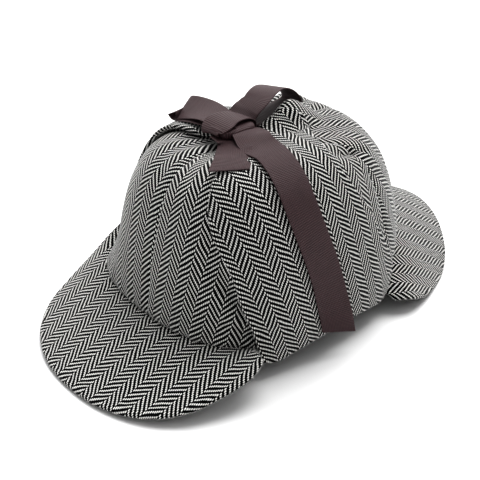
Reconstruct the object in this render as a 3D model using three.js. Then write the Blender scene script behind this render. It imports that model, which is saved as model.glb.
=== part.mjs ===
// A deerstalker hat of herringbone wool with two peaks and two ear flaps tied up over the crown.
// Millimetres. Front is -Y, the wearer's left is +X, up is +Z, and the floor is z = 0.
import * as THREE from "three";

// Crown: a squarish oval in plan, domed on top, made of six gores.
const crownHalfWidth = 86.6;
const crownHalfLength = 107.7;
const frontSquareness = 2.8;
const backSquareness = 2.4;
const crownTop = 132.3;
const shoulderSquareness = 7.25;
const apexForward = 24;
const gorePuff = 1.2;
const puffFade = 8;
const clothWall = 2.5;
const seamGap = 0.3;
const apexHoleShare = 0.03;
const goreSeams = [0, 60, 120, 180, 240, 300];

// The crown's bottom edge by turn from the front: its height, and how far it is pushed out there.
const rimRows = [
  { turn: -180, height: 60.3, flare: 0 },
  { turn: -160, height: 55.5, flare: 0 },
  { turn: -140, height: 45.4, flare: 0 },
  { turn: -130, height: 39.5, flare: 0 },
  { turn: -121, height: 29, flare: 0 },
  { turn: -113, height: 17.5, flare: 0 },
  { turn: -105, height: 19.5, flare: 0 },
  { turn: -95, height: 20, flare: 0 },
  { turn: -82, height: 17.5, flare: 0 },
  { turn: -70, height: 17, flare: 0 },
  { turn: -62, height: 25, flare: 2 },
  { turn: -54, height: 32, flare: 7 },
  { turn: -46, height: 33, flare: 10 },
  { turn: -37, height: 30, flare: 7 },
  { turn: -25, height: 27, flare: 2 },
  { turn: -12, height: 25.8, flare: 0 },
  { turn: 0, height: 25.8, flare: 0 },
  { turn: 20, height: 25.7, flare: 0 },
  { turn: 35, height: 25.6, flare: 1.5 },
  { turn: 45, height: 25, flare: 2.5 },
  { turn: 53, height: 23.5, flare: 2 },
  { turn: 61, height: 20, flare: 0 },
  { turn: 70, height: 17, flare: 0 },
  { turn: 82, height: 17.5, flare: 0 },
  { turn: 95, height: 20, flare: 0 },
  { turn: 105, height: 19.5, flare: 0 },
  { turn: 113, height: 17.5, flare: 0 },
  { turn: 121, height: 29, flare: 0 },
  { turn: 130, height: 39.5, flare: 0 },
  { turn: 140, height: 45.4, flare: 0 },
  { turn: 160, height: 55.5, flare: 0 },
  { turn: 180, height: 60.3, flare: 0 },
];
const flareRise = 0.22;

// Peaks: from the crown's bottom edge out to a free edge. Each row is one fold line across a peak.
const peakThickness = 4;
const peakCamber = 1.5;
const frontPeakRows = [
  { turn: -54, x: -87, y: -64, z: 51 },
  { turn: -51, x: -92.5, y: -75, z: 40.5 },
  { turn: -46, x: -94.3, y: -92, z: 28 },
  { turn: -38, x: -90.5, y: -114, z: 18.5 },
  { turn: -29, x: -81, y: -138, z: 11.5 },
  { turn: -20, x: -62, y: -157.5, z: 6.7 },
  { turn: -10, x: -33, y: -170, z: 4.3 },
  { turn: 0, x: 0, y: -173.7, z: 3.8 },
  { turn: 10, x: 33, y: -170, z: 4.3 },
  { turn: 20, x: 62, y: -157.5, z: 6.7 },
  { turn: 29, x: 81, y: -138, z: 11.5 },
  { turn: 38, x: 90.5, y: -114, z: 18 },
  { turn: 46, x: 94, y: -96, z: 24 },
  { turn: 50, x: 91.5, y: -85, z: 28 },
];
const backPeakHalfRows = [
  { turn: 115, x: 92, y: 51, z: 14 },
  { turn: 119, x: 98, y: 63, z: 13 },
  { turn: 125, x: 96.5, y: 82, z: 6 },
  { turn: 134, x: 89, y: 106, z: 2.6 },
  { turn: 144, x: 80, y: 126, z: 3.6 },
  { turn: 154, x: 66, y: 146, z: 9.8 },
  { turn: 165, x: 45, y: 164, z: 18.5 },
  { turn: 173, x: 22, y: 174.5, z: 24.8 },
];
const backPeakMiddle = { turn: 180, x: 0, y: 177.4, z: 26.7 };

// Ear flaps, folded up over the crown. Rise is the share of the way from the crown's edge to its top.
// Front and back are the turns of the flap's two edges, lift is how far the flap stands off the crown.
const flapThickness = 3.5;
const flapPuff = 0.9;
const leftFlapRows = [
  { rise: 0, front: 53.5, back: 114, lift: 0.5 },
  { rise: 0.08, front: 50.5, back: 118, lift: 2.2 },
  { rise: 0.17, front: 47, back: 116, lift: 2.4 },
  { rise: 0.28, front: 44, back: 111.5, lift: 2.4 },
  { rise: 0.375, front: 39, back: 107, lift: 2.4 },
  { rise: 0.47, front: 34, back: 102, lift: 2.2 },
  { rise: 0.57, front: 32, back: 98, lift: 2.2 },
  { rise: 0.64, front: 32, back: 99, lift: 2.2 },
  { rise: 0.7, front: 33, back: 105, lift: 2 },
  { rise: 0.76, front: 34, back: 118, lift: 2 },
  { rise: 0.82, front: 34, back: 152, lift: 2 },
  { rise: 0.93, front: 36, back: 160, lift: 2 },
];
const rightFlapRows = [
  { rise: 0, front: 61, back: 113, lift: 0.5 },
  { rise: 0.08, front: 60, back: 116, lift: 3 },
  { rise: 0.17, front: 59, back: 114, lift: 3.4 },
  { rise: 0.28, front: 58, back: 110, lift: 3.8 },
  { rise: 0.4, front: 57, back: 105, lift: 4 },
  { rise: 0.5, front: 57, back: 101, lift: 3.4 },
  { rise: 0.57, front: 57, back: 99, lift: 2.8 },
  { rise: 0.64, front: 56, back: 100, lift: 2.4 },
  { rise: 0.7, front: 54, back: 105, lift: 2 },
  { rise: 0.76, front: 50, back: 118, lift: 2 },
  { rise: 0.82, front: 46, back: 148, lift: 2 },
  { rise: 0.93, front: 42, back: 156, lift: 2 },
];
// Height of the fold at the bottom of a flap, by turn.
const foldRows = [
  { turn: 50, height: 5.5 },
  { turn: 61, height: 11 },
  { turn: 70, height: 15 },
  { turn: 80, height: 16.5 },
  { turn: 94, height: 17.5 },
  { turn: 105, height: 15 },
  { turn: 116, height: 11 },
];
const flapCornerShare = 0.12;
const flapCornerRise = 6;

// Ribbon: tied in a bow on top, where the flaps' tips meet.
const ribbonWidth = 24;
const ribbonThickness = 1.2;
const knotCentre = { x: -5, y: -26, z: 144.2 };
const knotHalf = { x: 12, y: 16.5, z: 6 };
const knotRoundness = 3;
// Tails lie on the crown: turn and rise of their middle line, its distance off the crown,
// and how far the ribbon's back edge is turned out.
const longTailRows = [
  { turn: 68, rise: 0.953, lift: 10.4, tilt: 0 },
  { turn: 65.5, rise: 0.875, lift: 9.2, tilt: 0 },
  { turn: 63.6, rise: 0.799, lift: 8.2, tilt: 0 },
  { turn: 64.5, rise: 0.714, lift: 7.7, tilt: 0 },
  { turn: 65.4, rise: 0.65, lift: 7.6, tilt: 0 },
  { turn: 66.7, rise: 0.591, lift: 7.6, tilt: 0 },
  { turn: 68.3, rise: 0.527, lift: 7.6, tilt: 0 },
  { turn: 71, rise: 0.442, lift: 7.6, tilt: 0 },
  { turn: 74, rise: 0.35, lift: 7.7, tilt: 1 },
  { turn: 76.9, rise: 0.252, lift: 7.9, tilt: 4 },
  { turn: 78.9, rise: 0.152, lift: 8.5, tilt: 8 },
  { turn: 80.4, rise: 0.065, lift: 9.4, tilt: 13 },
  { turn: 80.8, rise: 0.012, lift: 10.2, tilt: 16 },
];
const longTailSlant = 4;
const shortTailRows = [
  { turn: 22, rise: 0.875, lift: 6.6, tilt: 0 },
  { turn: 28.5, rise: 0.8, lift: 6.4, tilt: 0 },
  { turn: 34.5, rise: 0.72, lift: 6.3, tilt: 0 },
  { turn: 38, rise: 0.653, lift: 6.4, tilt: 0 },
];
const shortTailSlant = 0;
// Loops: the middle line as offsets from the knot's centre. Heading is where the ribbon's width
// points, from +X towards +Y, and tilt is how far it is turned up out of level, in degrees.
const rightLoopRows = [
  { x: -3, y: 17.1, z: 0.8, heading: 10, tilt: 0 },
  { x: -1.5, y: 20, z: 7.3, heading: 6, tilt: 3 },
  { x: -1, y: 25, z: 11.3, heading: 4, tilt: 5 },
  { x: -3.5, y: 35, z: 14, heading: 8, tilt: 6 },
  { x: -7, y: 46, z: 14.2, heading: 12, tilt: 6 },
  { x: -7.5, y: 57, z: 10.3, heading: 4, tilt: 5 },
  { x: -6.5, y: 64.5, z: 4.3, heading: -5, tilt: 3 },
  { x: -6, y: 65.5, z: -0.7, heading: -8, tilt: 1 },
  { x: -5.5, y: 57, z: -3, heading: -5, tilt: 0 },
  { x: -4.5, y: 41, z: -3.5, heading: 5, tilt: 0 },
  { x: -3.5, y: 22, z: -3.6, heading: 10, tilt: 0 },
];
const leftLoopRows = [
  { x: -12.2, y: 0, z: 1.8, heading: 92, tilt: 2 },
  { x: -23, y: 1, z: 1.8, heading: 93, tilt: 10 },
  { x: -35, y: 2.2, z: 0.3, heading: 94, tilt: 19 },
  { x: -47, y: 2.5, z: -1.8, heading: 93, tilt: 27 },
  { x: -54, y: 2, z: -3.9, heading: 92, tilt: 31 },
  { x: -48, y: 1.5, z: -4.1, heading: 93, tilt: 23 },
  { x: -36, y: 1, z: -3.6, heading: 94, tilt: 11 },
  { x: -24, y: 0, z: -3.6, heading: 93, tilt: 5 },
  { x: -12.2, y: 0, z: -3.4, heading: 92, tilt: 0 },
];

const radian = Math.PI / 180;
const signedPower = (value, power) => Math.sign(value) * Math.abs(value) ** power;

// Value of a column at a position between rows, as a smooth curve through the rows.
function valueAt(rows, column, position) {
  const last = rows.length - 1;
  const clamped = Math.min(Math.max(position, 0), last);
  const i = Math.min(Math.floor(clamped), last - 1);
  const t = clamped - i;
  const [p0, p1, p2, p3] = [i - 1, i, i + 1, i + 2].map(
    (k) => rows[Math.min(Math.max(k, 0), last)][column],
  );
  const start = (p2 - p0) / 2;
  const end = (p3 - p1) / 2;
  return (
    p1 * (2 * t ** 3 - 3 * t ** 2 + 1) +
    start * (t ** 3 - 2 * t ** 2 + t) +
    p2 * (3 * t ** 2 - 2 * t ** 3) +
    end * (t ** 3 - t ** 2)
  );
}

// Position between rows at which a rising column reaches a value.
function positionOf(rows, column, value) {
  const next = rows.findIndex((row) => row[column] >= value);
  if (next <= 0) return next < 0 ? rows.length - 1 : 0;
  const before = rows[next - 1][column];
  return next - 1 + (value - before) / (rows[next][column] - before);
}

const rimAt = (column, turn) =>
  valueAt(rimRows, column, positionOf(rimRows, "turn", turn > 180 ? turn - 360 : turn));
const foldHeight = (turn) => valueAt(foldRows, "height", positionOf(foldRows, "turn", turn));

function planPoint(turn) {
  const sine = Math.sin(turn * radian);
  const cosine = Math.cos(turn * radian);
  const power = cosine > 0 ? frontSquareness : backSquareness;
  const reach = (Math.abs(sine) ** power + Math.abs(cosine) ** power) ** (-1 / power);
  return [crownHalfWidth * sine * reach, -crownHalfLength * cosine * reach];
}

// The crown's section, from its edge (reach 1, height 0) to its top (reach 0, height 1), by arc length.
const sectionSteps = 400;
const meanHalfPlan = (crownHalfWidth + crownHalfLength) / 2;
const meanHeight = 107;
const section = [{ arc: 0, reach: 1, height: 0 }];
for (let i = 1; i <= sectionSteps; i++) {
  const reach = 1 - (i / sectionSteps) ** 1.6;
  const height = 1 - reach ** shoulderSquareness;
  const before = section[i - 1];
  const step = Math.hypot(meanHalfPlan * (reach - before.reach), meanHeight * (height - before.height));
  section.push({ arc: before.arc + step, reach, height });
}
const sectionLength = section[sectionSteps].arc;

function sectionAt(rise) {
  const arc = Math.min(Math.max(rise, 0), 1) * sectionLength;
  const i = Math.max(1, section.findIndex((row) => row.arc >= arc));
  const [a, b] = [section[i - 1], section[i]];
  const t = (arc - a.arc) / (b.arc - a.arc);
  return [a.reach + (b.reach - a.reach) * t, a.height + (b.height - a.height) * t];
}

// A negative rise goes straight down from the crown's edge.
function crownPoint(turn, rise) {
  const [x, y] = planPoint(turn);
  const [reach, height] = sectionAt(rise);
  const edge = rimAt("height", turn);
  const flare = rimAt("flare", turn) * Math.max(0, 1 - Math.max(rise, 0) / flareRise) ** 2;
  const spread = reach * (1 + flare / Math.hypot(x, y));
  return new THREE.Vector3(
    x * spread,
    y * spread - apexForward * (1 - reach) ** 2,
    edge + (crownTop - edge) * height + Math.min(rise, 0) * sectionLength,
  );
}

function crownNormal(turn, rise) {
  const turnStep = 0.5;
  const riseStep = 0.005;
  const across = crownPoint(turn + turnStep, rise).sub(crownPoint(turn - turnStep, rise));
  const up = crownPoint(turn, Math.min(rise + riseStep, 1)).sub(crownPoint(turn, rise - riseStep));
  return across.cross(up).normalize();
}

const offCrown = (turn, rise, lift) =>
  crownPoint(turn, rise).addScaledVector(crownNormal(turn, rise), lift);

// A closed sheet between two faces, each a function of two shares from 0 to 1.
function closedSheet(outerFace, innerFace, columns, rows) {
  const points = [];
  for (const face of [outerFace, innerFace])
    for (let j = 0; j <= rows; j++)
      for (let i = 0; i <= columns; i++) points.push(face(i / columns, j / rows));
  const layer = (columns + 1) * (rows + 1);
  const at = (i, j, face) => face * layer + j * (columns + 1) + i;
  const triangles = [];
  const quad = (a, b, c, d) => triangles.push([a, b, c], [a, c, d]);
  for (let j = 0; j < rows; j++)
    for (let i = 0; i < columns; i++) {
      quad(at(i, j, 0), at(i + 1, j, 0), at(i + 1, j + 1, 0), at(i, j + 1, 0));
      quad(at(i, j, 1), at(i, j + 1, 1), at(i + 1, j + 1, 1), at(i + 1, j, 1));
    }
  for (let i = 0; i < columns; i++) {
    quad(at(i, 0, 0), at(i, 0, 1), at(i + 1, 0, 1), at(i + 1, 0, 0));
    quad(at(i, rows, 0), at(i + 1, rows, 0), at(i + 1, rows, 1), at(i, rows, 1));
  }
  for (let j = 0; j < rows; j++) {
    quad(at(0, j, 0), at(0, j + 1, 0), at(0, j + 1, 1), at(0, j, 1));
    quad(at(columns, j, 0), at(columns, j, 1), at(columns, j + 1, 1), at(columns, j + 1, 0));
  }
  return solidFrom(points, triangles);
}

// Geometry of a closed body, with its faces turned outwards.
function solidFrom(points, triangles) {
  const sixfold = triangles.reduce(
    (sum, [a, b, c]) => sum + points[a].dot(points[b].clone().cross(points[c])),
    0,
  );
  const index = triangles.flatMap(([a, b, c]) => (sixfold < 0 ? [a, c, b] : [a, b, c]));
  const geometry = new THREE.BufferGeometry();
  geometry.setAttribute(
    "position",
    new THREE.Float32BufferAttribute(points.flatMap((p) => p.toArray()), 3),
  );
  geometry.setIndex(index);
  geometry.computeVertexNormals();
  return geometry;
}

// One gore of the crown, between two seams.
function goreSheet(firstSeam, lastSeam) {
  const face = (lift) => (across, up) => {
    const rise = up * (1 - apexHoleShare);
    const [reach] = sectionAt(rise);
    const margin = Math.asin(seamGap / 2 / (reach * crownHalfWidth)) / radian;
    const turn = firstSeam + margin + (lastSeam - firstSeam - 2 * margin) * across;
    const fade = Math.min(1, reach * 2, up * puffFade);
    const puff = gorePuff * fade * Math.sin(Math.PI * across) ** 0.8;
    return offCrown(turn, rise, puff + lift);
  };
  return closedSheet(face(0), face(-clothWall), 8, 14);
}

// A peak, from the crown's edge to its own free edge.
function peakSheet(rows, columns) {
  const top = (across, out) => {
    const position = across * (rows.length - 1);
    const turn = valueAt(rows, "turn", position);
    const edge = new THREE.Vector3(...["x", "y", "z"].map((c) => valueAt(rows, c, position)));
    const root = offCrown(turn, 0, seamGap).lerp(edge, out);
    root.z += peakCamber * Math.sin(Math.PI * out);
    return root;
  };
  const step = 0.01;
  const bottom = (across, out) => {
    const along = top(Math.min(across + step, 1), out).sub(top(Math.max(across - step, 0), out));
    const outward = top(across, Math.min(out + step, 1)).sub(top(across, Math.max(out - step, 0)));
    const normal = along.cross(outward).normalize();
    return top(across, out).addScaledVector(normal, peakThickness * -Math.sign(normal.z));
  };
  return closedSheet(top, bottom, columns, 6);
}

// An ear flap; side is 1 on the wearer's left and -1 on the right.
function flapSheet(rows, side) {
  const face = (depth) => (across, up) => {
    const position = up * (rows.length - 1);
    const turn = THREE.MathUtils.lerp(
      valueAt(rows, "front", position),
      valueAt(rows, "back", position),
      across,
    );
    const puff = flapPuff * Math.sin(Math.PI * across) * Math.sin(Math.PI * Math.min(1, up * 1.1));
    const lift = valueAt(rows, "lift", position) + puff + depth;
    const point = offCrown(side * turn, valueAt(rows, "rise", position), lift);
    const drop = Math.max(0, 1 - up * (rows.length - 1));
    const corner = Math.max(0, 1 - Math.min(across, 1 - across) / flapCornerShare) ** 2;
    const fold = foldHeight(turn) + flapCornerRise * corner;
    point.z += (fold - rimAt("height", side * turn)) * drop;
    return point;
  };
  return closedSheet(face(flapThickness), face(0), 10, 2 * (rows.length - 1));
}

// A ribbon's length lying on the crown.
function tailSheet(rows, slant) {
  const middle = (position) =>
    offCrown(
      valueAt(rows, "turn", position),
      valueAt(rows, "rise", position),
      valueAt(rows, "lift", position),
    );
  const face = (depth) => (across, along) => {
    const position = along * (rows.length - 1);
    const ahead = middle(Math.min(position + 0.05, rows.length - 1));
    const tangent = ahead.sub(middle(Math.max(position - 0.05, 0))).normalize();
    const normal = crownNormal(valueAt(rows, "turn", position), valueAt(rows, "rise", position));
    normal.applyAxisAngle(tangent, valueAt(rows, "tilt", position) * radian);
    const width = normal.clone().cross(tangent).normalize();
    const side = 2 * across - 1;
    return middle(position)
      .addScaledVector(width, (side * ribbonWidth) / 2)
      .addScaledVector(tangent, side * slant * along ** 6)
      .addScaledVector(normal, depth);
  };
  return closedSheet(face(ribbonThickness), face(0), 4, 3 * (rows.length - 1));
}

// A loop of the bow: a ribbon along its middle line, its width square to that line.
function loopSheet(rows) {
  const middle = (position) =>
    new THREE.Vector3(...["x", "y", "z"].map((c) => knotCentre[c] + valueAt(rows, c, position)));
  const face = (depth) => (across, along) => {
    const position = along * (rows.length - 1);
    const ahead = middle(Math.min(position + 0.05, rows.length - 1));
    const tangent = ahead.sub(middle(Math.max(position - 0.05, 0))).normalize();
    const tilt = valueAt(rows, "tilt", position) * radian;
    const heading = valueAt(rows, "heading", position) * radian;
    const width = new THREE.Vector3(
      Math.cos(heading) * Math.cos(tilt),
      Math.sin(heading) * Math.cos(tilt),
      Math.sin(tilt),
    );
    width.addScaledVector(tangent, -width.dot(tangent)).normalize();
    const normal = tangent.clone().cross(width);
    return middle(position)
      .addScaledVector(width, (2 * across - 1) * (ribbonWidth / 2))
      .addScaledVector(normal, depth * ribbonThickness);
  };
  return closedSheet(face(0.5), face(-0.5), 3, 3 * (rows.length - 1));
}

// The knot: a rounded block.
function knotBody() {
  const [turns, tiers] = [24, 12];
  const points = [new THREE.Vector3(0, 0, 1)];
  for (let j = 1; j < tiers; j++)
    for (let i = 0; i < turns; i++)
      points.push(new THREE.Vector3().setFromSphericalCoords(1, (j * Math.PI) / tiers, (i * 2 * Math.PI) / turns).applyAxisAngle(new THREE.Vector3(1, 0, 0), Math.PI / 2));
  points.push(new THREE.Vector3(0, 0, -1));
  const roundness = 2 / knotRoundness;
  for (const p of points)
    p.set(
      knotCentre.x + knotHalf.x * signedPower(p.x, roundness),
      knotCentre.y + knotHalf.y * signedPower(p.y, roundness),
      knotCentre.z + knotHalf.z * signedPower(p.z, roundness),
    );
  const ring = (j, i) => 1 + (j - 1) * turns + (i % turns);
  const triangles = [];
  for (let i = 0; i < turns; i++) {
    triangles.push([0, ring(1, i), ring(1, i + 1)]);
    triangles.push([points.length - 1, ring(tiers - 1, i + 1), ring(tiers - 1, i)]);
    for (let j = 1; j < tiers - 1; j++) {
      triangles.push([ring(j, i), ring(j + 1, i), ring(j + 1, i + 1)]);
      triangles.push([ring(j, i), ring(j + 1, i + 1), ring(j, i + 1)]);
    }
  }
  return solidFrom(points, triangles);
}

const hat = new THREE.Group();
hat.name = "deerstalker";
const clothColor = 0x8c8b89;
const ribbonColor = 0x4d3a3c;

function addPiece(name, geometry, color) {
  const material = new THREE.MeshStandardMaterial({ color, roughness: 0.9, metalness: 0 });
  const mesh = new THREE.Mesh(geometry, material);
  mesh.name = name;
  hat.add(mesh);
}

const goreNames = [
  "crown_gore_front_left",
  "crown_gore_side_left",
  "crown_gore_back_left",
  "crown_gore_back_right",
  "crown_gore_side_right",
  "crown_gore_front_right",
];
goreNames.forEach((name, i) => {
  addPiece(name, goreSheet(goreSeams[i], goreSeams[i] + 60), clothColor);
});

const mirrored = backPeakHalfRows.map((row) => ({ ...row, turn: 360 - row.turn, x: -row.x })).reverse();
addPiece("front_peak", peakSheet(frontPeakRows, 36), clothColor);
addPiece("back_peak", peakSheet([...backPeakHalfRows, backPeakMiddle, ...mirrored], 36), clothColor);
addPiece("ear_flap_left", flapSheet(leftFlapRows, 1), clothColor);
addPiece("ear_flap_right", flapSheet(rightFlapRows, -1), clothColor);
addPiece("ribbon_knot", knotBody(), ribbonColor);
addPiece("ribbon_loop_right", loopSheet(rightLoopRows), ribbonColor);
addPiece("ribbon_loop_left", loopSheet(leftLoopRows), ribbonColor);
addPiece("ribbon_tail_long", tailSheet(longTailRows, longTailSlant), ribbonColor);
addPiece("ribbon_tail_short", tailSheet(shortTailRows, shortTailSlant), ribbonColor);

// The frame's origin is the middle of the bottom of the whole hat's box.
const box = new THREE.Box3().setFromObject(hat);
const middle = box.getCenter(new THREE.Vector3());
hat.position.set(-middle.x, -middle.y, -box.min.z);

export default hat;
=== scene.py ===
import math

import bpy
import numpy as np
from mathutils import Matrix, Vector


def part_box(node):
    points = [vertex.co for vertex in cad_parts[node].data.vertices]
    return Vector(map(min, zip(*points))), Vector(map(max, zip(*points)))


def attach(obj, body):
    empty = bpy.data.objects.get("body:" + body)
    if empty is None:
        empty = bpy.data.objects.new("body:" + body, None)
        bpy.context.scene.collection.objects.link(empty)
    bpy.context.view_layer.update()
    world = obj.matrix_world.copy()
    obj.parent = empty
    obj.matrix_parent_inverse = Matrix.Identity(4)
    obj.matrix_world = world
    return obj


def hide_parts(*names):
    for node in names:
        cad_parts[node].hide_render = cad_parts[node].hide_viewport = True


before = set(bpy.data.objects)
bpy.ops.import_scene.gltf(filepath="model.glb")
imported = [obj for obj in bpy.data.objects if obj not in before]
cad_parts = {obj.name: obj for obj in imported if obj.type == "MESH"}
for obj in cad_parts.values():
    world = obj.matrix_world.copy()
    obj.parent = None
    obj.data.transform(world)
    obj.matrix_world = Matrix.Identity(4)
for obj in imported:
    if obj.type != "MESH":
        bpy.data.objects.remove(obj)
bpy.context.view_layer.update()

MM = 0.001


# Camera, floor and light: the hat stands on a white sweep under a broad light from above and behind.
# The camera looks down on it from in front of the wearer's left side.
camera_turn = math.radians(47.5)
camera_height = math.radians(27.0)
camera_distance = 612 * MM
camera_lens = 62.2
camera_shift = (-0.0456, -0.0827)
aim_height = 78.2

knot_low, knot_high = (np.array(corner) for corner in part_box("ribbon_knot"))
knot_centre = np.array([-5.0, -26.0, 144.2])
hat_place = (knot_low + knot_high) / 2 / MM - knot_centre

aim = Vector((hat_place + [0, 0, aim_height]) * MM)
back_to_camera = Vector((
    math.sin(camera_turn) * math.cos(camera_height),
    -math.cos(camera_turn) * math.cos(camera_height),
    math.sin(camera_height),
))
camera_data = bpy.data.cameras.new("camera")
camera_data.lens = camera_lens
camera_data.sensor_width = 36
camera_data.shift_x, camera_data.shift_y = camera_shift
camera_data.clip_start, camera_data.clip_end = 0.01, 50
camera = bpy.data.objects.new("camera", camera_data)
camera.location = aim + back_to_camera * camera_distance
camera.rotation_euler = (-back_to_camera).to_track_quat("-Z", "Y").to_euler()
bpy.context.collection.objects.link(camera)
bpy.context.scene.camera = camera


def linear(hex_colour):
    """An sRGB hex colour as linear RGBA."""
    parts = [int(hex_colour[i:i + 2], 16) / 255 for i in (1, 3, 5)]
    return [c / 12.92 if c <= 0.04045 else ((c + 0.055) / 1.055) ** 2.4 for c in parts] + [1.0]


def add_node(tree, kind, settings=None, **inputs):
    """Adds a node, sets its properties, and sets or links its inputs by name or number."""
    node = tree.nodes.new(kind)
    for name, value in (settings or {}).items():
        setattr(node, name, value)
    for key, value in inputs.items():
        socket = node.inputs[int(key[1:]) if key[1:].isdigit() else key.replace("_", " ")]
        if isinstance(value, bpy.types.NodeSocket):
            tree.links.new(value, socket)
        else:
            socket.default_value = value
    return node


bpy.ops.object.select_all(action="DESELECT")
bpy.ops.mesh.primitive_plane_add(size=12)
floor = bpy.context.object
floor.name = "floor"
floor_material = bpy.data.materials.new("matt_white_sweep")
floor_material.use_nodes = True
floor_shader = floor_material.node_tree.nodes["Principled BSDF"]
floor_shader.inputs["Base Color"].default_value = linear("#f7f7f7")
floor_shader.inputs["Roughness"].default_value = 0.9
floor_shader.inputs["Specular IOR Level"].default_value = 0.2
floor.data.materials.append(floor_material)

key_strength, key_spread = 2.4, math.radians(50)
key_direction = Vector((-0.2, 0.4, 0.88))
sky_near, sky_far = 0.2, 0.9
key_data = bpy.data.lights.new("overhead_softbox", "SUN")
key_data.energy = key_strength
key_data.angle = key_spread
key = bpy.data.objects.new("overhead_softbox", key_data)
key.rotation_euler = key_direction.to_track_quat("Z", "Y").to_euler()
bpy.context.collection.objects.link(key)
world = bpy.data.worlds.new("studio")
world.use_nodes = True
sky = world.node_tree
sky_direction = add_node(sky, "ShaderNodeTexCoord").outputs["Generated"]
away_from_camera = (-math.sin(camera_turn), math.cos(camera_turn), 0)
behind = add_node(sky, "ShaderNodeVectorMath", {"operation": "DOT_PRODUCT"},
                  _0=sky_direction, _1=away_from_camera).outputs["Value"]
bright = add_node(sky, "ShaderNodeMapRange", Value=behind,
                  From_Min=-1.0, From_Max=1.0, To_Min=sky_near, To_Max=sky_far)
sky.links.new(bright.outputs[0], sky.nodes["Background"].inputs["Strength"])
sky.nodes["Background"].inputs["Color"].default_value = (1, 1, 1, 1)
bpy.context.scene.world = world
bpy.context.scene.view_settings.view_transform = "Standard"
bpy.context.scene.view_settings.look = "High Contrast"


# Crown: six gores of herringbone wool, sewn edge to edge, rounded over the head and flat on top.
# The tied flaps gather the cloth on top into folds that run towards the knot.
crown_half_width, crown_half_length = 86.6, 107.7
front_squareness, back_squareness = 2.8, 2.4
crown_top = 132.3
shoulder_squareness = 7.25
apex_forward = 24
gore_puff = 1.2
cloth_wall = 2.4
seam_tuck = 0.7


def table(names, *rows):
    """A table of rows as one array for each named column."""
    return dict(zip(names.split(), np.array(rows, float).T))


rim = table(
    "turn height flare",
    (-180, 60.3, 0), (-160, 55.5, 0), (-140, 45.4, 0), (-130, 39.5, 0), (-121, 29, 0), (-113, 17.5, 0),
    (-105, 19.5, 0), (-95, 20, 0), (-82, 17.5, 0), (-70, 17, 0), (-62, 25, 2), (-54, 32, 7),
    (-46, 33, 10), (-37, 30, 7), (-25, 27, 2), (-12, 25.8, 0), (0, 25.8, 0), (20, 25.7, 0),
    (35, 25.6, 1.5), (45, 25, 2.5), (53, 23.5, 2), (61, 20, 0), (70, 17, 0), (82, 17.5, 0),
    (95, 20, 0), (105, 19.5, 0), (113, 17.5, 0), (121, 29, 0), (130, 39.5, 0), (140, 45.4, 0),
    (160, 55.5, 0), (180, 60.3, 0),
)
flare_rise = 0.22


def value_at(values, position):
    """A smooth curve through evenly spaced values, which may be numbers, points or rows of points."""
    last = len(values) - 1
    position = np.clip(position, 0, last)
    i = np.minimum(position.astype(int), last - 1)
    t = (position - i).reshape(position.shape + (1,) * (values.ndim - 1))
    before, left, right, after = (values[np.clip(i + k, 0, last)] for k in (-1, 0, 1, 2))
    return (
        left * (2 * t**3 - 3 * t**2 + 1)
        + (right - before) / 2 * (t**3 - 2 * t**2 + t)
        + right * (3 * t**2 - 2 * t**3)
        + (after - left) / 2 * (t**3 - t**2)
    )


def value_by(rows, key, value, column):
    """A column's value where another, rising column has a value."""
    return value_at(rows[column], np.interp(value, rows[key], np.arange(len(rows[key]))))


section_reach = 1 - np.linspace(0, 1, 401) ** 1.6
section_height = 1 - section_reach**shoulder_squareness
section_arc = np.append(0, np.cumsum(np.hypot(
    (crown_half_width + crown_half_length) / 2 * np.diff(section_reach),
    107 * np.diff(section_height),
)))
section_length = section_arc[-1]


def plan_point(turn):
    sine, cosine = np.sin(np.radians(turn)), np.cos(np.radians(turn))
    power = np.where(cosine > 0, front_squareness, back_squareness)
    reach = (np.abs(sine) ** power + np.abs(cosine) ** power) ** (-1 / power)
    return crown_half_width * sine * reach, -crown_half_length * cosine * reach


def swell(points, place, reach):
    """1 at a place, falling smoothly to 0 at its reach along each axis."""
    gap = np.sum(((points - place) / reach) ** 2, axis=-1)
    return np.maximum(0, 1 - gap) ** 2


# Mounds of gathered cloth by the knot and behind the loops: height, middle and reach along each axis.
mounds = (
    (11, (7, 12, 132), (19, 24, 60)),
    (16, (1, 30, 132), (22, 26, 60)),
    (6, (-34, 55, 128), (20, 22, 60)),
    (5.5, (-14, 66, 125), (58, 34, 50)),
)
gather_count, gather_height = 11, 0.9
gather_distance, gather_width = 30, 17


def gathered(points):
    """How high the cloth on top stands in folds drawn in to the knot, and in the mounds beside it."""
    x, y = points[..., 0] - knot_centre[0], points[..., 1] - knot_centre[1]
    away = np.hypot(x, y)
    angle = np.arctan2(y, x)
    folds = np.sin(gather_count * angle + 0.8 * np.sin(3 * angle + 1))
    folds = folds * np.exp(-(((away - gather_distance) / gather_width) ** 2))
    low = np.clip((points[..., 2] - 110) / 15, 0, 1)
    height = gather_height * folds
    for mound_height, place, reach in mounds:
        height = height + mound_height * swell(points, place, reach)
    return low * height


def crown_point(turn, rise):
    """A point of the crown by turn from the front and share of the way from its edge to its top."""
    turn = np.where(turn > 180, turn - 360, turn)
    x, y = plan_point(turn)
    arc = np.clip(rise, 0, 1) * section_length
    reach = np.interp(arc, section_arc, section_reach)
    height = np.interp(arc, section_arc, section_height)
    edge = value_by(rim, "turn", turn, "height")
    flare = value_by(rim, "turn", turn, "flare") * np.maximum(0, 1 - np.maximum(rise, 0) / flare_rise) ** 2
    spread = reach * (1 + flare / np.hypot(x, y))
    z = edge + (crown_top - edge) * height + np.minimum(rise, 0) * section_length
    points = np.stack([x * spread, y * spread - apex_forward * (1 - reach) ** 2, z], -1)
    points[..., 2] += gathered(points)
    return points


def unit(vectors):
    return vectors / np.linalg.norm(vectors, axis=-1, keepdims=True)


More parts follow.
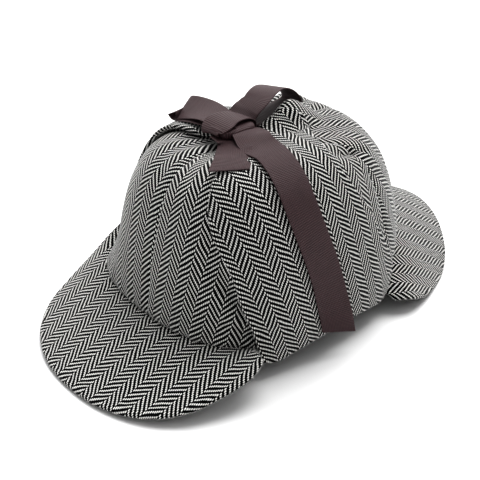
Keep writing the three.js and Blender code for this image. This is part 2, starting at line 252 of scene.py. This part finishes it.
def crown_normal(turn, rise):
    across = crown_point(turn + 0.5, rise) - crown_point(turn - 0.5, rise)
    up = crown_point(turn, np.minimum(rise + 0.005, 1)) - crown_point(turn, rise - 0.005)
    return unit(np.cross(across, up))


def off_crown(turn, rise, lift):
    return crown_point(turn, rise) + crown_normal(turn, rise) * np.asarray(lift)[..., None]


def soft_waves(points, size, seed):
    """Slow random waves from -1 to 1 over points in space, of about the given size in millimetres."""
    numbers = np.random.default_rng(seed)
    waves = 0
    for _ in range(5):
        direction = unit(numbers.normal(size=3)) * 2 * math.pi / (size * numbers.uniform(0.7, 1.5))
        waves = waves + np.sin(points @ direction + numbers.uniform(0, 2 * math.pi))
    return waves / 5


def creased(points, creases):
    """Depth of the creases at points. Each runs between two places of the crown and fades out at its ends."""
    depth = 0
    for row in np.stack(list(creases.values()), -1):
        turn_a, rise_a, turn_b, rise_b, deep, wide = row
        start, end = (crown_point(np.array(t), np.array(r)) for t, r in ((turn_a, rise_a), (turn_b, rise_b)))
        line = end - start
        along = np.clip((points - start) @ line / (line @ line), 0, 1)
        gap = np.linalg.norm(points - start - along[..., None] * line, axis=-1)
        depth = depth + deep * np.exp(-((gap / wide) ** 2)) * np.sin(math.pi * (0.15 + 0.7 * along))
    return depth


def lay_flat(middle, guess=None, columns=20, rows=28, rounds=1800):
    """Lays a curved sheet out flat, as its cloth was cut, so that lengths on it stay as they are."""
    across, up = np.meshgrid(np.linspace(0, 1, columns + 1), np.linspace(0, 1, rows + 1))
    points = middle(across, up)
    if guess is None:
        steps = np.linalg.norm(np.diff(points, axis=1), axis=-1)
        u = np.concatenate([np.zeros((rows + 1, 1)), np.cumsum(steps, 1)], 1)
        climb = np.linalg.norm(np.diff(points[:, columns // 2], axis=0), axis=-1)
        v = np.broadcast_to(np.append(0, np.cumsum(climb))[:, None], u.shape)
        flat = np.stack([u - u[:, columns // 2, None], v], -1)
    else:
        flat = guess(points)
    every, first, last = slice(None), slice(None, -1), slice(1, None)
    pairs = [((every, first), (every, last)), ((first, every), (last, every)),
             ((first, first), (last, last)), ((first, last), (last, first))]
    lengths = [np.linalg.norm(points[b] - points[a], axis=-1) for a, b in pairs]
    for _ in range(rounds):
        move, count = np.zeros_like(flat), np.zeros(flat.shape[:2] + (1,))
        for (a, b), length in zip(pairs, lengths):
            step = flat[b] - flat[a]
            now = np.linalg.norm(step, axis=-1)
            push = step * ((now - length) / np.maximum(now, 1e-9) / 2)[..., None]
            move[a] += push
            move[b] -= push
            count[a] += 1
            count[b] += 1
        flat = flat + move / count * 1.5

    def flat_at(across, up):
        by_row = value_at(flat, up * rows)
        return np.swapaxes(value_at(np.swapaxes(by_row, 0, 1), across * columns), 0, 1)
    return flat_at


def make_sheet(name, columns, rows, middle, thickness, flat_at):
    """A closed sheet with rounded rims along a middle surface, with UVs in millimetres of its flat cloth."""
    across_line, up_line = np.linspace(0, 1, columns + 1), np.linspace(0, 1, rows + 1)
    across, up = np.meshgrid(across_line, up_line)
    points = middle(across, up)
    flat = flat_at(across_line, up_line)
    step = 0.002
    along_across = middle(np.minimum(across + step, 1), up) - middle(np.maximum(across - step, 0), up)
    along_up = middle(across, np.minimum(up + step, 1)) - middle(across, np.maximum(up - step, 0))
    normals = unit(np.cross(along_across, along_up))
    sideways, upwards = unit(along_across), unit(along_up)
    half = thickness / 2
    roll = np.radians([30, 60, 90, 120, 150])
    end_roll = np.radians([80, 60, 40, 20])
    rings, ring_uvs = [], []
    ends = [(0, -angle) for angle in end_roll] + [(j, 0) for j in range(rows + 1)]
    ends += [(rows, angle) for angle in end_roll[::-1]]
    for j, lean in ends:
        h = half * math.cos(lean)
        base = points[j] + upwards[j] * half * math.sin(lean)
        flat_row = flat[j] + unit(flat[min(j + 1, rows)] - flat[max(j - 1, 0)]) * half * lean
        left_out, right_out = unit(flat_row[0] - flat_row[1]), unit(flat_row[-1] - flat_row[-2])
        outer, inner = base + normals[j] * h, base - normals[j] * h
        sine, cosine = np.sin(roll)[:, None] * h, np.cos(roll)[:, None] * h
        right = base[-1] + sideways[j, -1] * sine + normals[j, -1] * cosine
        left = base[0] - sideways[j, 0] * sine[::-1] + normals[j, 0] * cosine[::-1]
        rings.append(np.concatenate([outer, right, inner[::-1], left]))
        under = 2 * flat_row[-1] - flat_row[::-1] + right_out * math.pi * half
        ring_uvs.append(np.concatenate([
            flat_row, flat_row[-1] + right_out * roll[:, None] * half,
            under, flat_row[0] + left_out * roll[::-1, None] * half,
        ]))
    rings, starts = np.array(rings), np.array(ring_uvs)
    ring_size = rings.shape[1]
    stops = np.roll(starts, -1, axis=1)
    under_end = 2 * columns + 1 + len(roll)
    starts[:, under_end] = 2 * starts[:, under_end + 1] - starts[:, under_end + 2]
    j, i = np.meshgrid(np.arange(len(rings) - 1), np.arange(ring_size), indexing="ij")
    after = (i + 1) % ring_size
    quads = np.stack([j * ring_size + i, j * ring_size + after,
                      (j + 1) * ring_size + after, (j + 1) * ring_size + i], -1).reshape(-1, 4)
    quad_uvs = np.stack([starts[:-1], stops[:-1], stops[1:], starts[1:]], 2).reshape(-1, 2)
    faces, corner_uvs = quads.tolist(), [quad_uvs]
    for ring, order in ((0, slice(None, None, -1)), (len(rings) - 1, slice(None))):
        loop = list(range(ring_size))
        under_start = columns + 1 + len(roll)
        caps = [[k, k + 1, under_start + columns - k - 1, under_start + columns - k] for k in range(columns)]
        caps += [loop[columns:under_start + 1], loop[under_end:] + [0]]
        for cap in caps:
            faces.append([ring * ring_size + k for k in cap[order]])
            corner_uvs.append(starts[ring][cap[order]])
    mesh = bpy.data.meshes.new(name)
    mesh.from_pydata(((rings.reshape(-1, 3) + hat_place) * MM).tolist(), [], faces)
    layer = mesh.uv_layers.new(name="cloth_mm")
    layer.data.foreach_set("uv", np.concatenate(corner_uvs).ravel())
    mesh.polygons.foreach_set("use_smooth", [True] * len(mesh.polygons))
    mesh.update()
    piece = bpy.data.objects.new(name, mesh)
    bpy.context.collection.objects.link(piece)
    return piece


warp_pitch, weft_pitch = 0.98, 1.03
column_ends = 9


def woven(flat_at, start, lean=0, wide=1, mirrored=False, skew=0):
    """Lays the weave on a flat piece: where a column starts, the columns' lean and width, the weft's skew."""
    sine, cosine = math.sin(math.radians(lean)), math.cos(math.radians(lean))

    def placed(across, up):
        flat = flat_at(across, up)
        u, v = np.abs(flat[..., 0]) if mirrored else flat[..., 0], flat[..., 1]
        along = u * sine + v * cosine
        return np.stack([((u - start) * cosine - v * sine) / wide, along + skew * u], -1)
    return placed


def herringbone_wool():
    """Herringbone tweed of white warp and black weft, a 2/2 twill that turns every nine ends.

    Fuzzy carded yarn, so each float is a soft bead with painted shade at its edges; the cloth turns pale
    where it is seen edge on.
    """
    material = bpy.data.materials.new("herringbone_wool")
    material.use_nodes = True
    tree = material.node_tree
    shader = tree.nodes["Principled BSDF"]

    def calc(operation, a, b=0.0, c=0.0):
        return add_node(tree, "ShaderNodeMath", {"operation": operation}, _0=a, _1=b, _2=c).outputs[0]

    def mixed(share, a, b):
        return add_node(tree, "ShaderNodeMix", {"data_type": "FLOAT"}, _0=share, _2=a, _3=b).outputs[0]

    cloth = add_node(tree, "ShaderNodeUVMap", {"uv_map": "cloth_mm"}).outputs["UV"]
    wobble = add_node(tree, "ShaderNodeTexNoise", Vector=cloth, Scale=0.12, Detail=2.0).outputs["Color"]
    wobble = add_node(tree, "ShaderNodeVectorMath", {"operation": "SUBTRACT"}, _0=wobble, _1=(0.5, 0.5, 0.5))
    placed = add_node(tree, "ShaderNodeVectorMath", {"operation": "MULTIPLY_ADD"},
                      _0=wobble.outputs[0], _1=(1.3, 1.3, 0.0), _2=cloth).outputs[0]
    split = add_node(tree, "ShaderNodeSeparateXYZ", Vector=placed)
    warp = calc("DIVIDE", split.outputs["X"], warp_pitch)
    weft = calc("DIVIDE", split.outputs["Y"], weft_pitch)
    warp_number, weft_number = calc("FLOOR", warp), calc("FLOOR", weft)
    warp_part, weft_part = calc("SUBTRACT", warp, warp_number), calc("SUBTRACT", weft, weft_number)
    in_pair = calc("FLOORED_MODULO", warp_number, 2.0 * column_ends)
    turned = calc("GREATER_THAN", in_pair, column_ends - 0.5)
    twill_step = mixed(turned, in_pair, calc("SUBTRACT", 2.0 * column_ends + 1, in_pair))
    phase = calc("FLOORED_MODULO", calc("ADD", weft_number, twill_step), 4.0)
    weft_up = calc("GREATER_THAN", phase, 1.5)
    warp_along = calc("MULTIPLY", calc("ADD", phase, weft_part), 0.5)
    weft_along = mixed(turned, calc("SUBTRACT", phase, 2.0), calc("SUBTRACT", 3.0, phase))
    weft_along = calc("MULTIPLY", calc("ADD", weft_along, warp_part), 0.5)

    def bead(along, across):
        lengthwise = calc("MAXIMUM", calc("SINE", calc("MULTIPLY", along, math.pi)), 0.0)
        crosswise = calc("MAXIMUM", calc("SINE", calc("MULTIPLY", across, math.pi)), 0.0)
        return calc("MULTIPLY", calc("POWER", lengthwise, 0.6), calc("POWER", crosswise, 0.5))

    warp_bead, weft_bead = bead(warp_along, warp_part), bead(weft_along, weft_part)
    height = mixed(weft_up, warp_bead, weft_bead)
    fibre = add_node(tree, "ShaderNodeTexNoise", Vector=cloth,
                     Scale=1.6, Detail=4.0, Roughness=0.7).outputs["Fac"]
    fibre = add_node(tree, "ShaderNodeMapRange", Value=fibre, From_Min=0.3, From_Max=0.7).outputs[0]

    def blend(share, a, b):
        return add_node(tree, "ShaderNodeMix", {"data_type": "RGBA"}, _0=share, _6=a, _7=b).outputs[2]

    white_yarn = blend(fibre, linear("#d5d4d1"), linear("#fbfaf7"))
    black_yarn = blend(fibre, linear("#030404"), linear("#0b0c0d"))
    # Painted shade: each white float darkens to near black towards its edges, in the valleys between the
    # yarns; this mask also sets how wide the white strokes look.
    painted_bead_lighting = add_node(tree, "ShaderNodeMapRange", Value=warp_bead, From_Min=0.3, From_Max=0.69).outputs[0]
    white = blend(painted_bead_lighting, linear("#0e0f10"), white_yarn)
    colour = blend(weft_up, white, black_yarn)
    relief = add_node(tree, "ShaderNodeBump", Height=height, Distance=0.0003, Strength=0.7)
    tree.links.new(colour, shader.inputs["Base Color"])
    tree.links.new(relief.outputs[0], shader.inputs["Normal"])
    shader.inputs["Roughness"].default_value = 0.95
    shader.inputs["Specular IOR Level"].default_value = 0.1
    shader.inputs["Sheen Weight"].default_value = 0.5
    shader.inputs["Sheen Roughness"].default_value = 0.3
    return material


wool = herringbone_wool()


def finish_wool(piece, node):
    piece.data.materials.append(wool)
    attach(piece, "root")
    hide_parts(node)


gore_creases = table(
    "turn_a rise_a turn_b rise_b deep wide",
    (35, 0.35, 49, 0.1, 3.4, 4.5), (30, 0.34, 43, 0.18, 2.4, 4), (28, 0.43, 38, 0.36, 1.4, 4),
    (40, 0.1, 54, 0.03, 2.4, 4), (-8, 0.7, 14, 0.6, 1.2, 4), (-24, 0.66, -6, 0.55, 1.1, 4.5),
    (108, 0.63, 126, 0.57, 4.0, 4), (112, 0.5, 132, 0.4, 1.6, 5), (120, 0.72, 150, 0.66, 1.5, 5),
)
seam_pucker_length = 14


def gore_middle(first_seam, last_seam):
    def middle(across, up):
        rise = up * 0.985
        reach = np.interp(rise * section_length, section_arc, section_reach)
        margin = np.degrees(np.arcsin(np.minimum(0.9, 0.15 / (np.maximum(reach, 0.02) * crown_half_width))))
        turn = first_seam + margin + (last_seam - first_seam - 2 * margin) * across
        fade = np.minimum(np.minimum(1, reach * 2), up * 8)
        puff = gore_puff * fade * np.maximum(0, np.sin(math.pi * across)) ** 0.8
        surface = crown_point(turn, rise)
        from_seam = np.minimum(across, 1 - across) * 90 * reach
        seam = seam_tuck * np.exp(-((from_seam / 1.6) ** 2))
        up_from_edge = rise * section_length
        pucker = np.sin(2 * math.pi * surface[..., 0] / seam_pucker_length + np.sin(surface[..., 0] / 19))
        pucker = 0.45 * pucker * np.exp(-((up_from_edge / 11) ** 2))
        tuck = 2.0 * np.maximum(0, 1 - up_from_edge / 5) ** 2
        sag = (0.5 * soft_waves(surface, 55, 4) + 0.25 * soft_waves(surface, 22, 9)) * np.minimum(1, 6 * up)
        lift = puff + sag + pucker - seam - tuck - creased(surface, gore_creases)
        return off_crown(turn, rise, lift - cloth_wall / 2)
    return middle


# Each gore's weave: the turn of its first seam, where a column starts, and the columns' lean.
gore_cloth = {
    "front_left": (0, -16.5, 11),
    "side_left": (60, -4, 0),
    "back_left": (120, 0, 0),
    "back_right": (180, 3, 0),
    "side_right": (240, 0, 0),
    "front_right": (300, 16.5, -11),
}
for gore_name, (first_seam, column_start, column_lean) in gore_cloth.items():
    middle = gore_middle(first_seam, first_seam + 60)
    cloth = woven(lay_flat(middle), column_start, column_lean)
    gore = make_sheet("wool_gore_" + gore_name, 64, 110, middle, cloth_wall, cloth)
    finish_wool(gore, "crown_gore_" + gore_name)


# Peaks: stiffened crescents of the same wool, sewn under the crown's edge, columns front to back.
peak_thickness = 4.0
peak_camber = 1.5
front_peak_rows = table(
    "turn x y z",
    (-54, -87, -64, 51), (-51, -92.5, -75, 40.5), (-46, -94.3, -92, 28), (-38, -90.5, -114, 18.5),
    (-29, -81, -138, 11.5), (-20, -62, -157.5, 6.7), (-10, -33, -170, 4.3), (0, 0, -173.7, 3.8),
    (10, 33, -170, 4.3), (20, 62, -157.5, 6.7), (29, 81, -138, 11.5), (38, 90.5, -114, 18),
    (46, 94, -96, 24), (50, 91.5, -85, 28),
)
back_half = [
    (115, 92, 51, 14), (119, 98, 63, 13), (125, 96.5, 82, 6), (134, 89, 106, 2.6), (144, 80, 126, 3.6),
    (154, 66, 146, 9.8), (165, 45, 164, 18.5), (173, 22, 174.5, 24.8), (180, 0, 177.4, 26.7),
]
back_peak_rows = table(
    "turn x y z",
    *back_half, *[(360 - turn, -x, y, z) for turn, x, y, z in back_half[-2::-1]],
)


def peak_middle(rows):
    def top(across, out):
        position = (1 - across) * (len(rows["turn"]) - 1)
        turn = value_at(rows["turn"], position)
        edge = np.stack([value_at(rows[c], position) for c in "xyz"], -1)
        root = off_crown(turn, 0 * turn, -1.5 + 0 * turn)
        point = root + (edge - root) * out[..., None]
        point[..., 2] += peak_camber * np.sin(math.pi * out) + 0.35 * soft_waves(point, 50, 6) * out
        return point

    def middle(across, out):
        inset = out * 0.98
        point = top(across, inset)
        step = 0.01
        along = top(np.minimum(across + step, 1), inset) - top(np.maximum(across - step, 0), inset)
        outward = top(across, inset + step) - top(across, np.maximum(inset - step, 0))
        normal = unit(np.cross(along, outward))
        normal *= np.sign(normal[..., 2:])
        return point - normal * peak_thickness / 2
    return middle


for peak_name, rows, column_start, column_lean, column_width, skew in (
    ("front_peak", front_peak_rows, -1.8, 0, 1.026, 0.11),
    ("back_peak", back_peak_rows, 0, 22, 0.84, 0),
):
    middle = peak_middle(rows)
    flat_at = lay_flat(middle, lambda points: points[..., :2], 40, 8, 1500)
    cloth = woven(flat_at, column_start, column_lean, column_width, column_lean > 0, skew)
    peak = make_sheet("wool_" + peak_name, 170, 44, middle, peak_thickness, cloth)
    finish_wool(peak, peak_name)


# Ear flaps: two layers of the same wool, folded up at the hat's edge and drawn together on top.
# Rows give the share of the way up the crown, the turns of both edges and the distance off the crown.
flap_thickness = 3.5
flap_puff = 0.9
left_flap_rows = table(
    "rise front back lift",
    (0, 53.5, 114, 0.5), (0.08, 50.5, 118, 2.2), (0.17, 47, 116, 2.4), (0.28, 44, 111.5, 2.4),
    (0.375, 39, 107, 2.4), (0.47, 34, 102, 2.2), (0.57, 32, 98, 2.2), (0.64, 32, 99, 2.2),
    (0.7, 33, 105, 2), (0.76, 34, 118, 2), (0.82, 34, 152, 2), (0.93, 36, 160, 2),
)
right_flap_rows = table(
    "rise front back lift",
    (0, 61, 113, 0.5), (0.08, 60, 116, 3), (0.17, 59, 114, 3.4), (0.28, 58, 110, 3.8),
    (0.4, 57, 105, 4), (0.5, 57, 101, 3.4), (0.57, 57, 99, 2.8), (0.64, 56, 100, 2.4),
    (0.7, 54, 105, 2), (0.76, 50, 118, 2), (0.82, 46, 148, 2), (0.93, 42, 156, 2),
)
fold = table(
    "turn height",
    (50, 5.5), (61, 11), (70, 15), (80, 16.5), (94, 17.5), (105, 15), (116, 11),
)
flap_corner_share = 0.12
flap_corner_rise = 6
flap_creases = table(
    "turn_a rise_a turn_b rise_b deep wide",
    (50, 0.2, 62, 0.12, 0.7, 5), (52, 0.42, 58, 0.3, 0.5, 6), (95, 0.2, 106, 0.28, 0.7, 6),
    (88, 0.1, 100, 0.16, 0.6, 5), (48, 0.66, 56, 0.55, 0.5, 5), (90, 0.55, 99, 0.5, 0.6, 6),
)
flap_column_width = 0.96
flap_column_lean = -9


def flap_middle(rows, side):
    def middle(across, up):
        position = up * (len(rows["rise"]) - 1)
        front, back = value_at(rows["front"], position), value_at(rows["back"], position)
        turn = front + (back - front) * (across if side > 0 else 1 - across)
        rise = value_at(rows["rise"], position)
        surface = crown_point(side * turn, rise)
        puff = flap_puff * np.sin(math.pi * across) * np.sin(math.pi * np.minimum(1, up * 1.1))
        waves = 0.45 * soft_waves(surface, 48, 12) + 0.2 * soft_waves(surface, 20, 15)
        soft = (waves - creased(surface, flap_creases)) * np.minimum(1, 4 * up)
        lift = value_at(rows["lift"], position) + puff + soft + flap_thickness / 2
        point = off_crown(side * turn, rise, lift)
        drop = np.maximum(0, 1 - position)
        corner = np.maximum(0, 1 - np.minimum(across, 1 - across) / flap_corner_share) ** 2
        bottom = value_by(fold, "turn", turn, "height") + flap_corner_rise * corner + flap_thickness / 2
        point[..., 2] += (bottom - value_by(rim, "turn", side * turn, "height")) * drop
        return point
    return middle


def flat_size(flat_at):
    """A flat piece's width, length and area, in millimetres."""
    line = np.linspace(0, 1, 61)
    flat = flat_at(line, line)
    across, along = np.diff(flat, axis=1)[:-1], np.diff(flat, axis=0)[:, :-1]
    area = abs(np.sum(across[..., 0] * along[..., 1] - across[..., 1] * along[..., 0]))
    width, length = np.ptp(flat.reshape(-1, 2), axis=0)
    return float(width), float(length), float(area)


for flap_name, rows, side, column_start in (
    ("left", left_flap_rows, 1, -19.1),
    ("right", right_flap_rows, -1, 19.1),
):
    middle = flap_middle(rows, side)
    flat_at = lay_flat(middle)
    cloth = woven(flat_at, column_start, side * flap_column_lean, flap_column_width)
    flap = make_sheet("wool_flap_" + flap_name, 90, 150, middle, flap_thickness, cloth)
    finish_wool(flap, "ear_flap_" + flap_name)
    width, length, area = flat_size(flat_at)


# Ribbon: brown grosgrain, 24 mm wide, tied in a bow over the flaps' tips.
# One long tail hangs down the wearer's left side and one short end lies under it.
ribbon_width = 24
ribbon_thickness = 0.8


def grosgrain():
    """Brown grosgrain: weft ribs across the ribbon with a dull silky light on them, and painted shade and
    highlight along the ribs.

    The ribs are drawn 1.25 mm apart, twice the real spacing, so that they show.
    """
    rib_pitch, thread_pitch, thread_share = 1.25, 1.15, 0.7
    material = bpy.data.materials.new("brown_grosgrain")
    material.use_nodes = True
    tree = material.node_tree
    shader = tree.nodes["Principled BSDF"]
    cloth = add_node(tree, "ShaderNodeUVMap", {"uv_map": "cloth_mm"}).outputs["UV"]
    split = add_node(tree, "ShaderNodeSeparateXYZ", Vector=cloth)

    def wave(value, pitch):
        angle = add_node(tree, "ShaderNodeMath", {"operation": "MULTIPLY"},
                         _0=value, _1=2 * math.pi / pitch)
        return add_node(tree, "ShaderNodeMath", {"operation": "SINE"}, _0=angle.outputs[0]).outputs[0]

    rib, thread = wave(split.outputs["Y"], rib_pitch), wave(split.outputs["X"], thread_pitch)
    height = add_node(tree, "ShaderNodeMath", {"operation": "MULTIPLY_ADD"},
                      _0=thread, _1=thread_share, _2=rib).outputs[0]
    cloudy = add_node(tree, "ShaderNodeTexNoise", Vector=cloth, Scale=0.15, Detail=4.0).outputs["Fac"]
    base = add_node(tree, "ShaderNodeMix", {"data_type": "RGBA"},
                    _0=cloudy, _6=linear("#3d2529"), _7=linear("#4b2f33"))
    # Painted shade and highlight: the colour is darkened in the valleys between ribs and threads and
    # lightened above its own tone on their tops.
    painted_rib_light = add_node(tree, "ShaderNodeMapRange", Value=height,
                     From_Min=-1.6, From_Max=1.5, To_Min=0.4, To_Max=1.25)
    colour = add_node(tree, "ShaderNodeMix", {"data_type": "RGBA", "blend_type": "MULTIPLY"},
                      _0=1.0, _6=base.outputs[2], _7=painted_rib_light.outputs[0])
    relief = add_node(tree, "ShaderNodeBump", Height=height, Distance=0.00015, Strength=0.7)
    tree.links.new(colour.outputs[2], shader.inputs["Base Color"])
    tree.links.new(relief.outputs[0], shader.inputs["Normal"])
    shader.inputs["Roughness"].default_value = 0.55
    shader.inputs["Specular IOR Level"].default_value = 0.5
    shader.inputs["Sheen Weight"].default_value = 0.06
    return material


ribbon_cloth = grosgrain()


def make_ribbon(name, node, rows, middle, length):
    """A length of ribbon; its UVs run across its width and along its length."""
    def flat_at(across, along):
        u, v = np.meshgrid((across - 0.5) * ribbon_width, along * length)
        return np.stack([u, v], -1)
    ribbon = make_sheet(name, 12, rows, middle, ribbon_thickness, flat_at)
    ribbon.data.materials.append(ribbon_cloth)
    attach(ribbon, "root")
    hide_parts(node)
    return ribbon


def run_length(points):
    return float(np.sum(np.linalg.norm(np.diff(points, axis=0), axis=-1)))


def turned_about(vectors, axis, angle):
    """Vectors turned about an axis by an angle in radians."""
    cosine, sine = np.cos(angle)[..., None], np.sin(angle)[..., None]
    along = np.sum(vectors * axis, -1, keepdims=True)
    return vectors * cosine + np.cross(axis, vectors) * sine + axis * along * (1 - cosine)


long_tail_rows = table(
    "turn rise lift tilt",
    (68, 0.953, 11, -2), (65.5, 0.875, 10.4, -5), (63.6, 0.799, 9.2, -4), (64.5, 0.714, 8, -1),
    (65.4, 0.65, 7.6, 0), (66.7, 0.591, 7.6, 0), (68.3, 0.527, 7.6, 0), (71, 0.442, 7.6, 0),
    (74, 0.35, 7.7, 1), (76.9, 0.252, 7.9, 4), (78.9, 0.152, 8.5, 8), (80.4, 0.065, 9.4, 13),
    (80.8, 0.012, 10.2, 16),
)
short_tail_rows = table(
    "turn rise lift tilt",
    (40, 0.875, 6.2, -6), (40, 0.8, 6, -6), (39, 0.72, 6.1, -5), (38, 0.653, 6.4, -2),
)
long_tail_start, short_tail_start = (-3, -26.5, 143.2), (-1, -32, 140.6)
long_tail_slant, short_tail_slant = 4, -4


def tangent_at(points, position):
    last = len(points) - 1
    return unit(
        value_at(points, np.minimum(position + 0.05, last)) - value_at(points, np.maximum(position - 0.05, 0))
    )


def tail_middle(rows, start, slant):
    """A tail's middle surface: from a start under the knot and then along its rows on the crown."""
    points = np.concatenate([[start], off_crown(rows["turn"], rows["rise"], rows["lift"] + 0.6)])
    normals = crown_normal(rows["turn"], rows["rise"])
    tangents = unit(np.gradient(points[1:], axis=0))
    normals = turned_about(normals, tangents, np.radians(rows["tilt"]))
    normals = np.concatenate([[normals[0]], normals])
    last = len(points) - 1

    def middle(across, along):
        position = along * last
        tangent = tangent_at(points, position)
        width = unit(np.cross(value_at(normals, position), tangent))
        side = (2 * across - 1)[..., None]
        shift = side * slant * along[..., None] ** 6
        return value_at(points, position) + width * side * ribbon_width / 2 + tangent * shift
    return middle, run_length(points)


long_middle, long_length = tail_middle(long_tail_rows, long_tail_start, long_tail_slant)
long_tail = make_ribbon("grosgrain_long_tail", "ribbon_tail_long", 130, long_middle, long_length)
short_middle, short_length = tail_middle(short_tail_rows, short_tail_start, short_tail_slant)
short_tail = make_ribbon("grosgrain_short_tail", "ribbon_tail_short", 40, short_middle, short_length)

right_loop_rows = table(
    "x y z heading tilt",
    (-3, 5, 0, 12, 0), (-3, 13.5, 1.5, 10, 0), (-2, 19, 6, 6, 3), (-1, 26, 10.6, 4, 5),
    (-3.5, 35, 14, 8, 6), (-7, 46, 14.2, 12, 6), (-7.5, 57, 10.3, 4, 5), (-6.5, 64.5, 4.3, -5, 3),
    (-6, 65.5, -0.7, -8, 1), (-5.5, 57, -3, -5, 0), (-4.5, 41, -3.5, 5, 0), (-3.5, 22, -3.6, 10, 0),
    (-3, 6, -3.6, 12, 0),
)
left_loop_rows = table(
    "x y z heading tilt",
    (-3, 0, 1.8, 92, 0), (-12.2, 0, 1.8, 92, 2), (-23, 1, 1.8, 93, 10), (-35, 2.2, 0.3, 94, 19),
    (-47, 2.5, -1.8, 93, 27), (-54, 2, -3.6, 92, 31), (-48, 1.8, -3.8, 93, 26), (-36, 1, -2.4, 94, 17),
    (-24, 0, -1.4, 93, 9), (-12.2, 0, -1.4, 92, 2), (-3, 0, -1.4, 92, 0),
)
knot_rows = table(
    "x y z half",
    (-4, -24, 139, 9), (-4, -34, 140.4, 8), (-4, -40.8, 141, 8), (-4.6, -42, 143.2, 10),
    (-4.5, -36, 147.3, 13), (-4, -28, 149.3, 11.5), (-1.5, -20, 149.3, 8), (0.5, -13, 147, 4.5),
    (1, -9.5, 143.5, 3), (0.5, -10, 140.2, 3.5), (-1, -16, 139, 6), (-4, -24, 139.4, 9),
)


def band_middle(points, widths, halves):
    """A ribbon's middle surface along points, with the direction of its width and its half width at each."""
    last = len(points) - 1

    def middle(across, along):
        position = along * last
        tangent = tangent_at(points, position)
        width = value_at(widths, position)
        width = unit(width - tangent * np.sum(width * tangent, -1, keepdims=True))
        return value_at(points, position) + width * ((2 * across - 1) * value_at(halves, position))[..., None]
    return middle


def make_loop(name, node, rows):
    heading, tilt = np.radians(rows["heading"]), np.radians(rows["tilt"])
    points = knot_centre + np.stack([rows[c] for c in "xyz"], -1)
    widths = np.stack([np.cos(heading) * np.cos(tilt), np.sin(heading) * np.cos(tilt), np.sin(tilt)], -1)
    middle = band_middle(points, widths, 0 * heading + ribbon_width / 2)
    loop = make_ribbon(name, node, 110, middle, run_length(points))


make_loop("grosgrain_right_loop", "ribbon_loop_right", right_loop_rows)
make_loop("grosgrain_left_loop", "ribbon_loop_left", left_loop_rows)

knot_points = np.stack([knot_rows[c] for c in "xyz"], -1)
knot_middle = band_middle(knot_points, np.tile([1.0, 0, 0], (len(knot_points), 1)), knot_rows["half"])
make_ribbon("grosgrain_knot", "ribbon_knot", 120, knot_middle, run_length(knot_points))

# Inside the wrap, the bow's ribbons are pressed together into one rounded bundle.
bundle_half = (13.5, 15, 4.4)
bundle_roundness = 2 / 3
bundle_centre = knot_centre + [3.6, -1, -1.4]
bpy.ops.object.select_all(action="DESELECT")
bpy.ops.mesh.primitive_uv_sphere_add(segments=48, ring_count=24, radius=1)
bundle = bpy.context.object
bundle.name = bundle.data.name = "grosgrain_bundle"
bundle_uv = bundle.data.uv_layers[0]
bundle_uv.name = "cloth_mm"
for vertex in bundle.data.vertices:
    shaped = [math.copysign(abs(c) ** bundle_roundness, c) * h for c, h in zip(vertex.co, bundle_half)]
    vertex.co = Vector((np.array(shaped) + bundle_centre + hat_place) * MM)
for loop in bundle.data.loops:
    bundle_uv.data[loop.index].uv = np.array(bundle.data.vertices[loop.vertex_index].co)[:2] / MM
bundle.data.polygons.foreach_set("use_smooth", [True] * len(bundle.data.polygons))
bundle.data.materials.append(ribbon_cloth)
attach(bundle, "root")
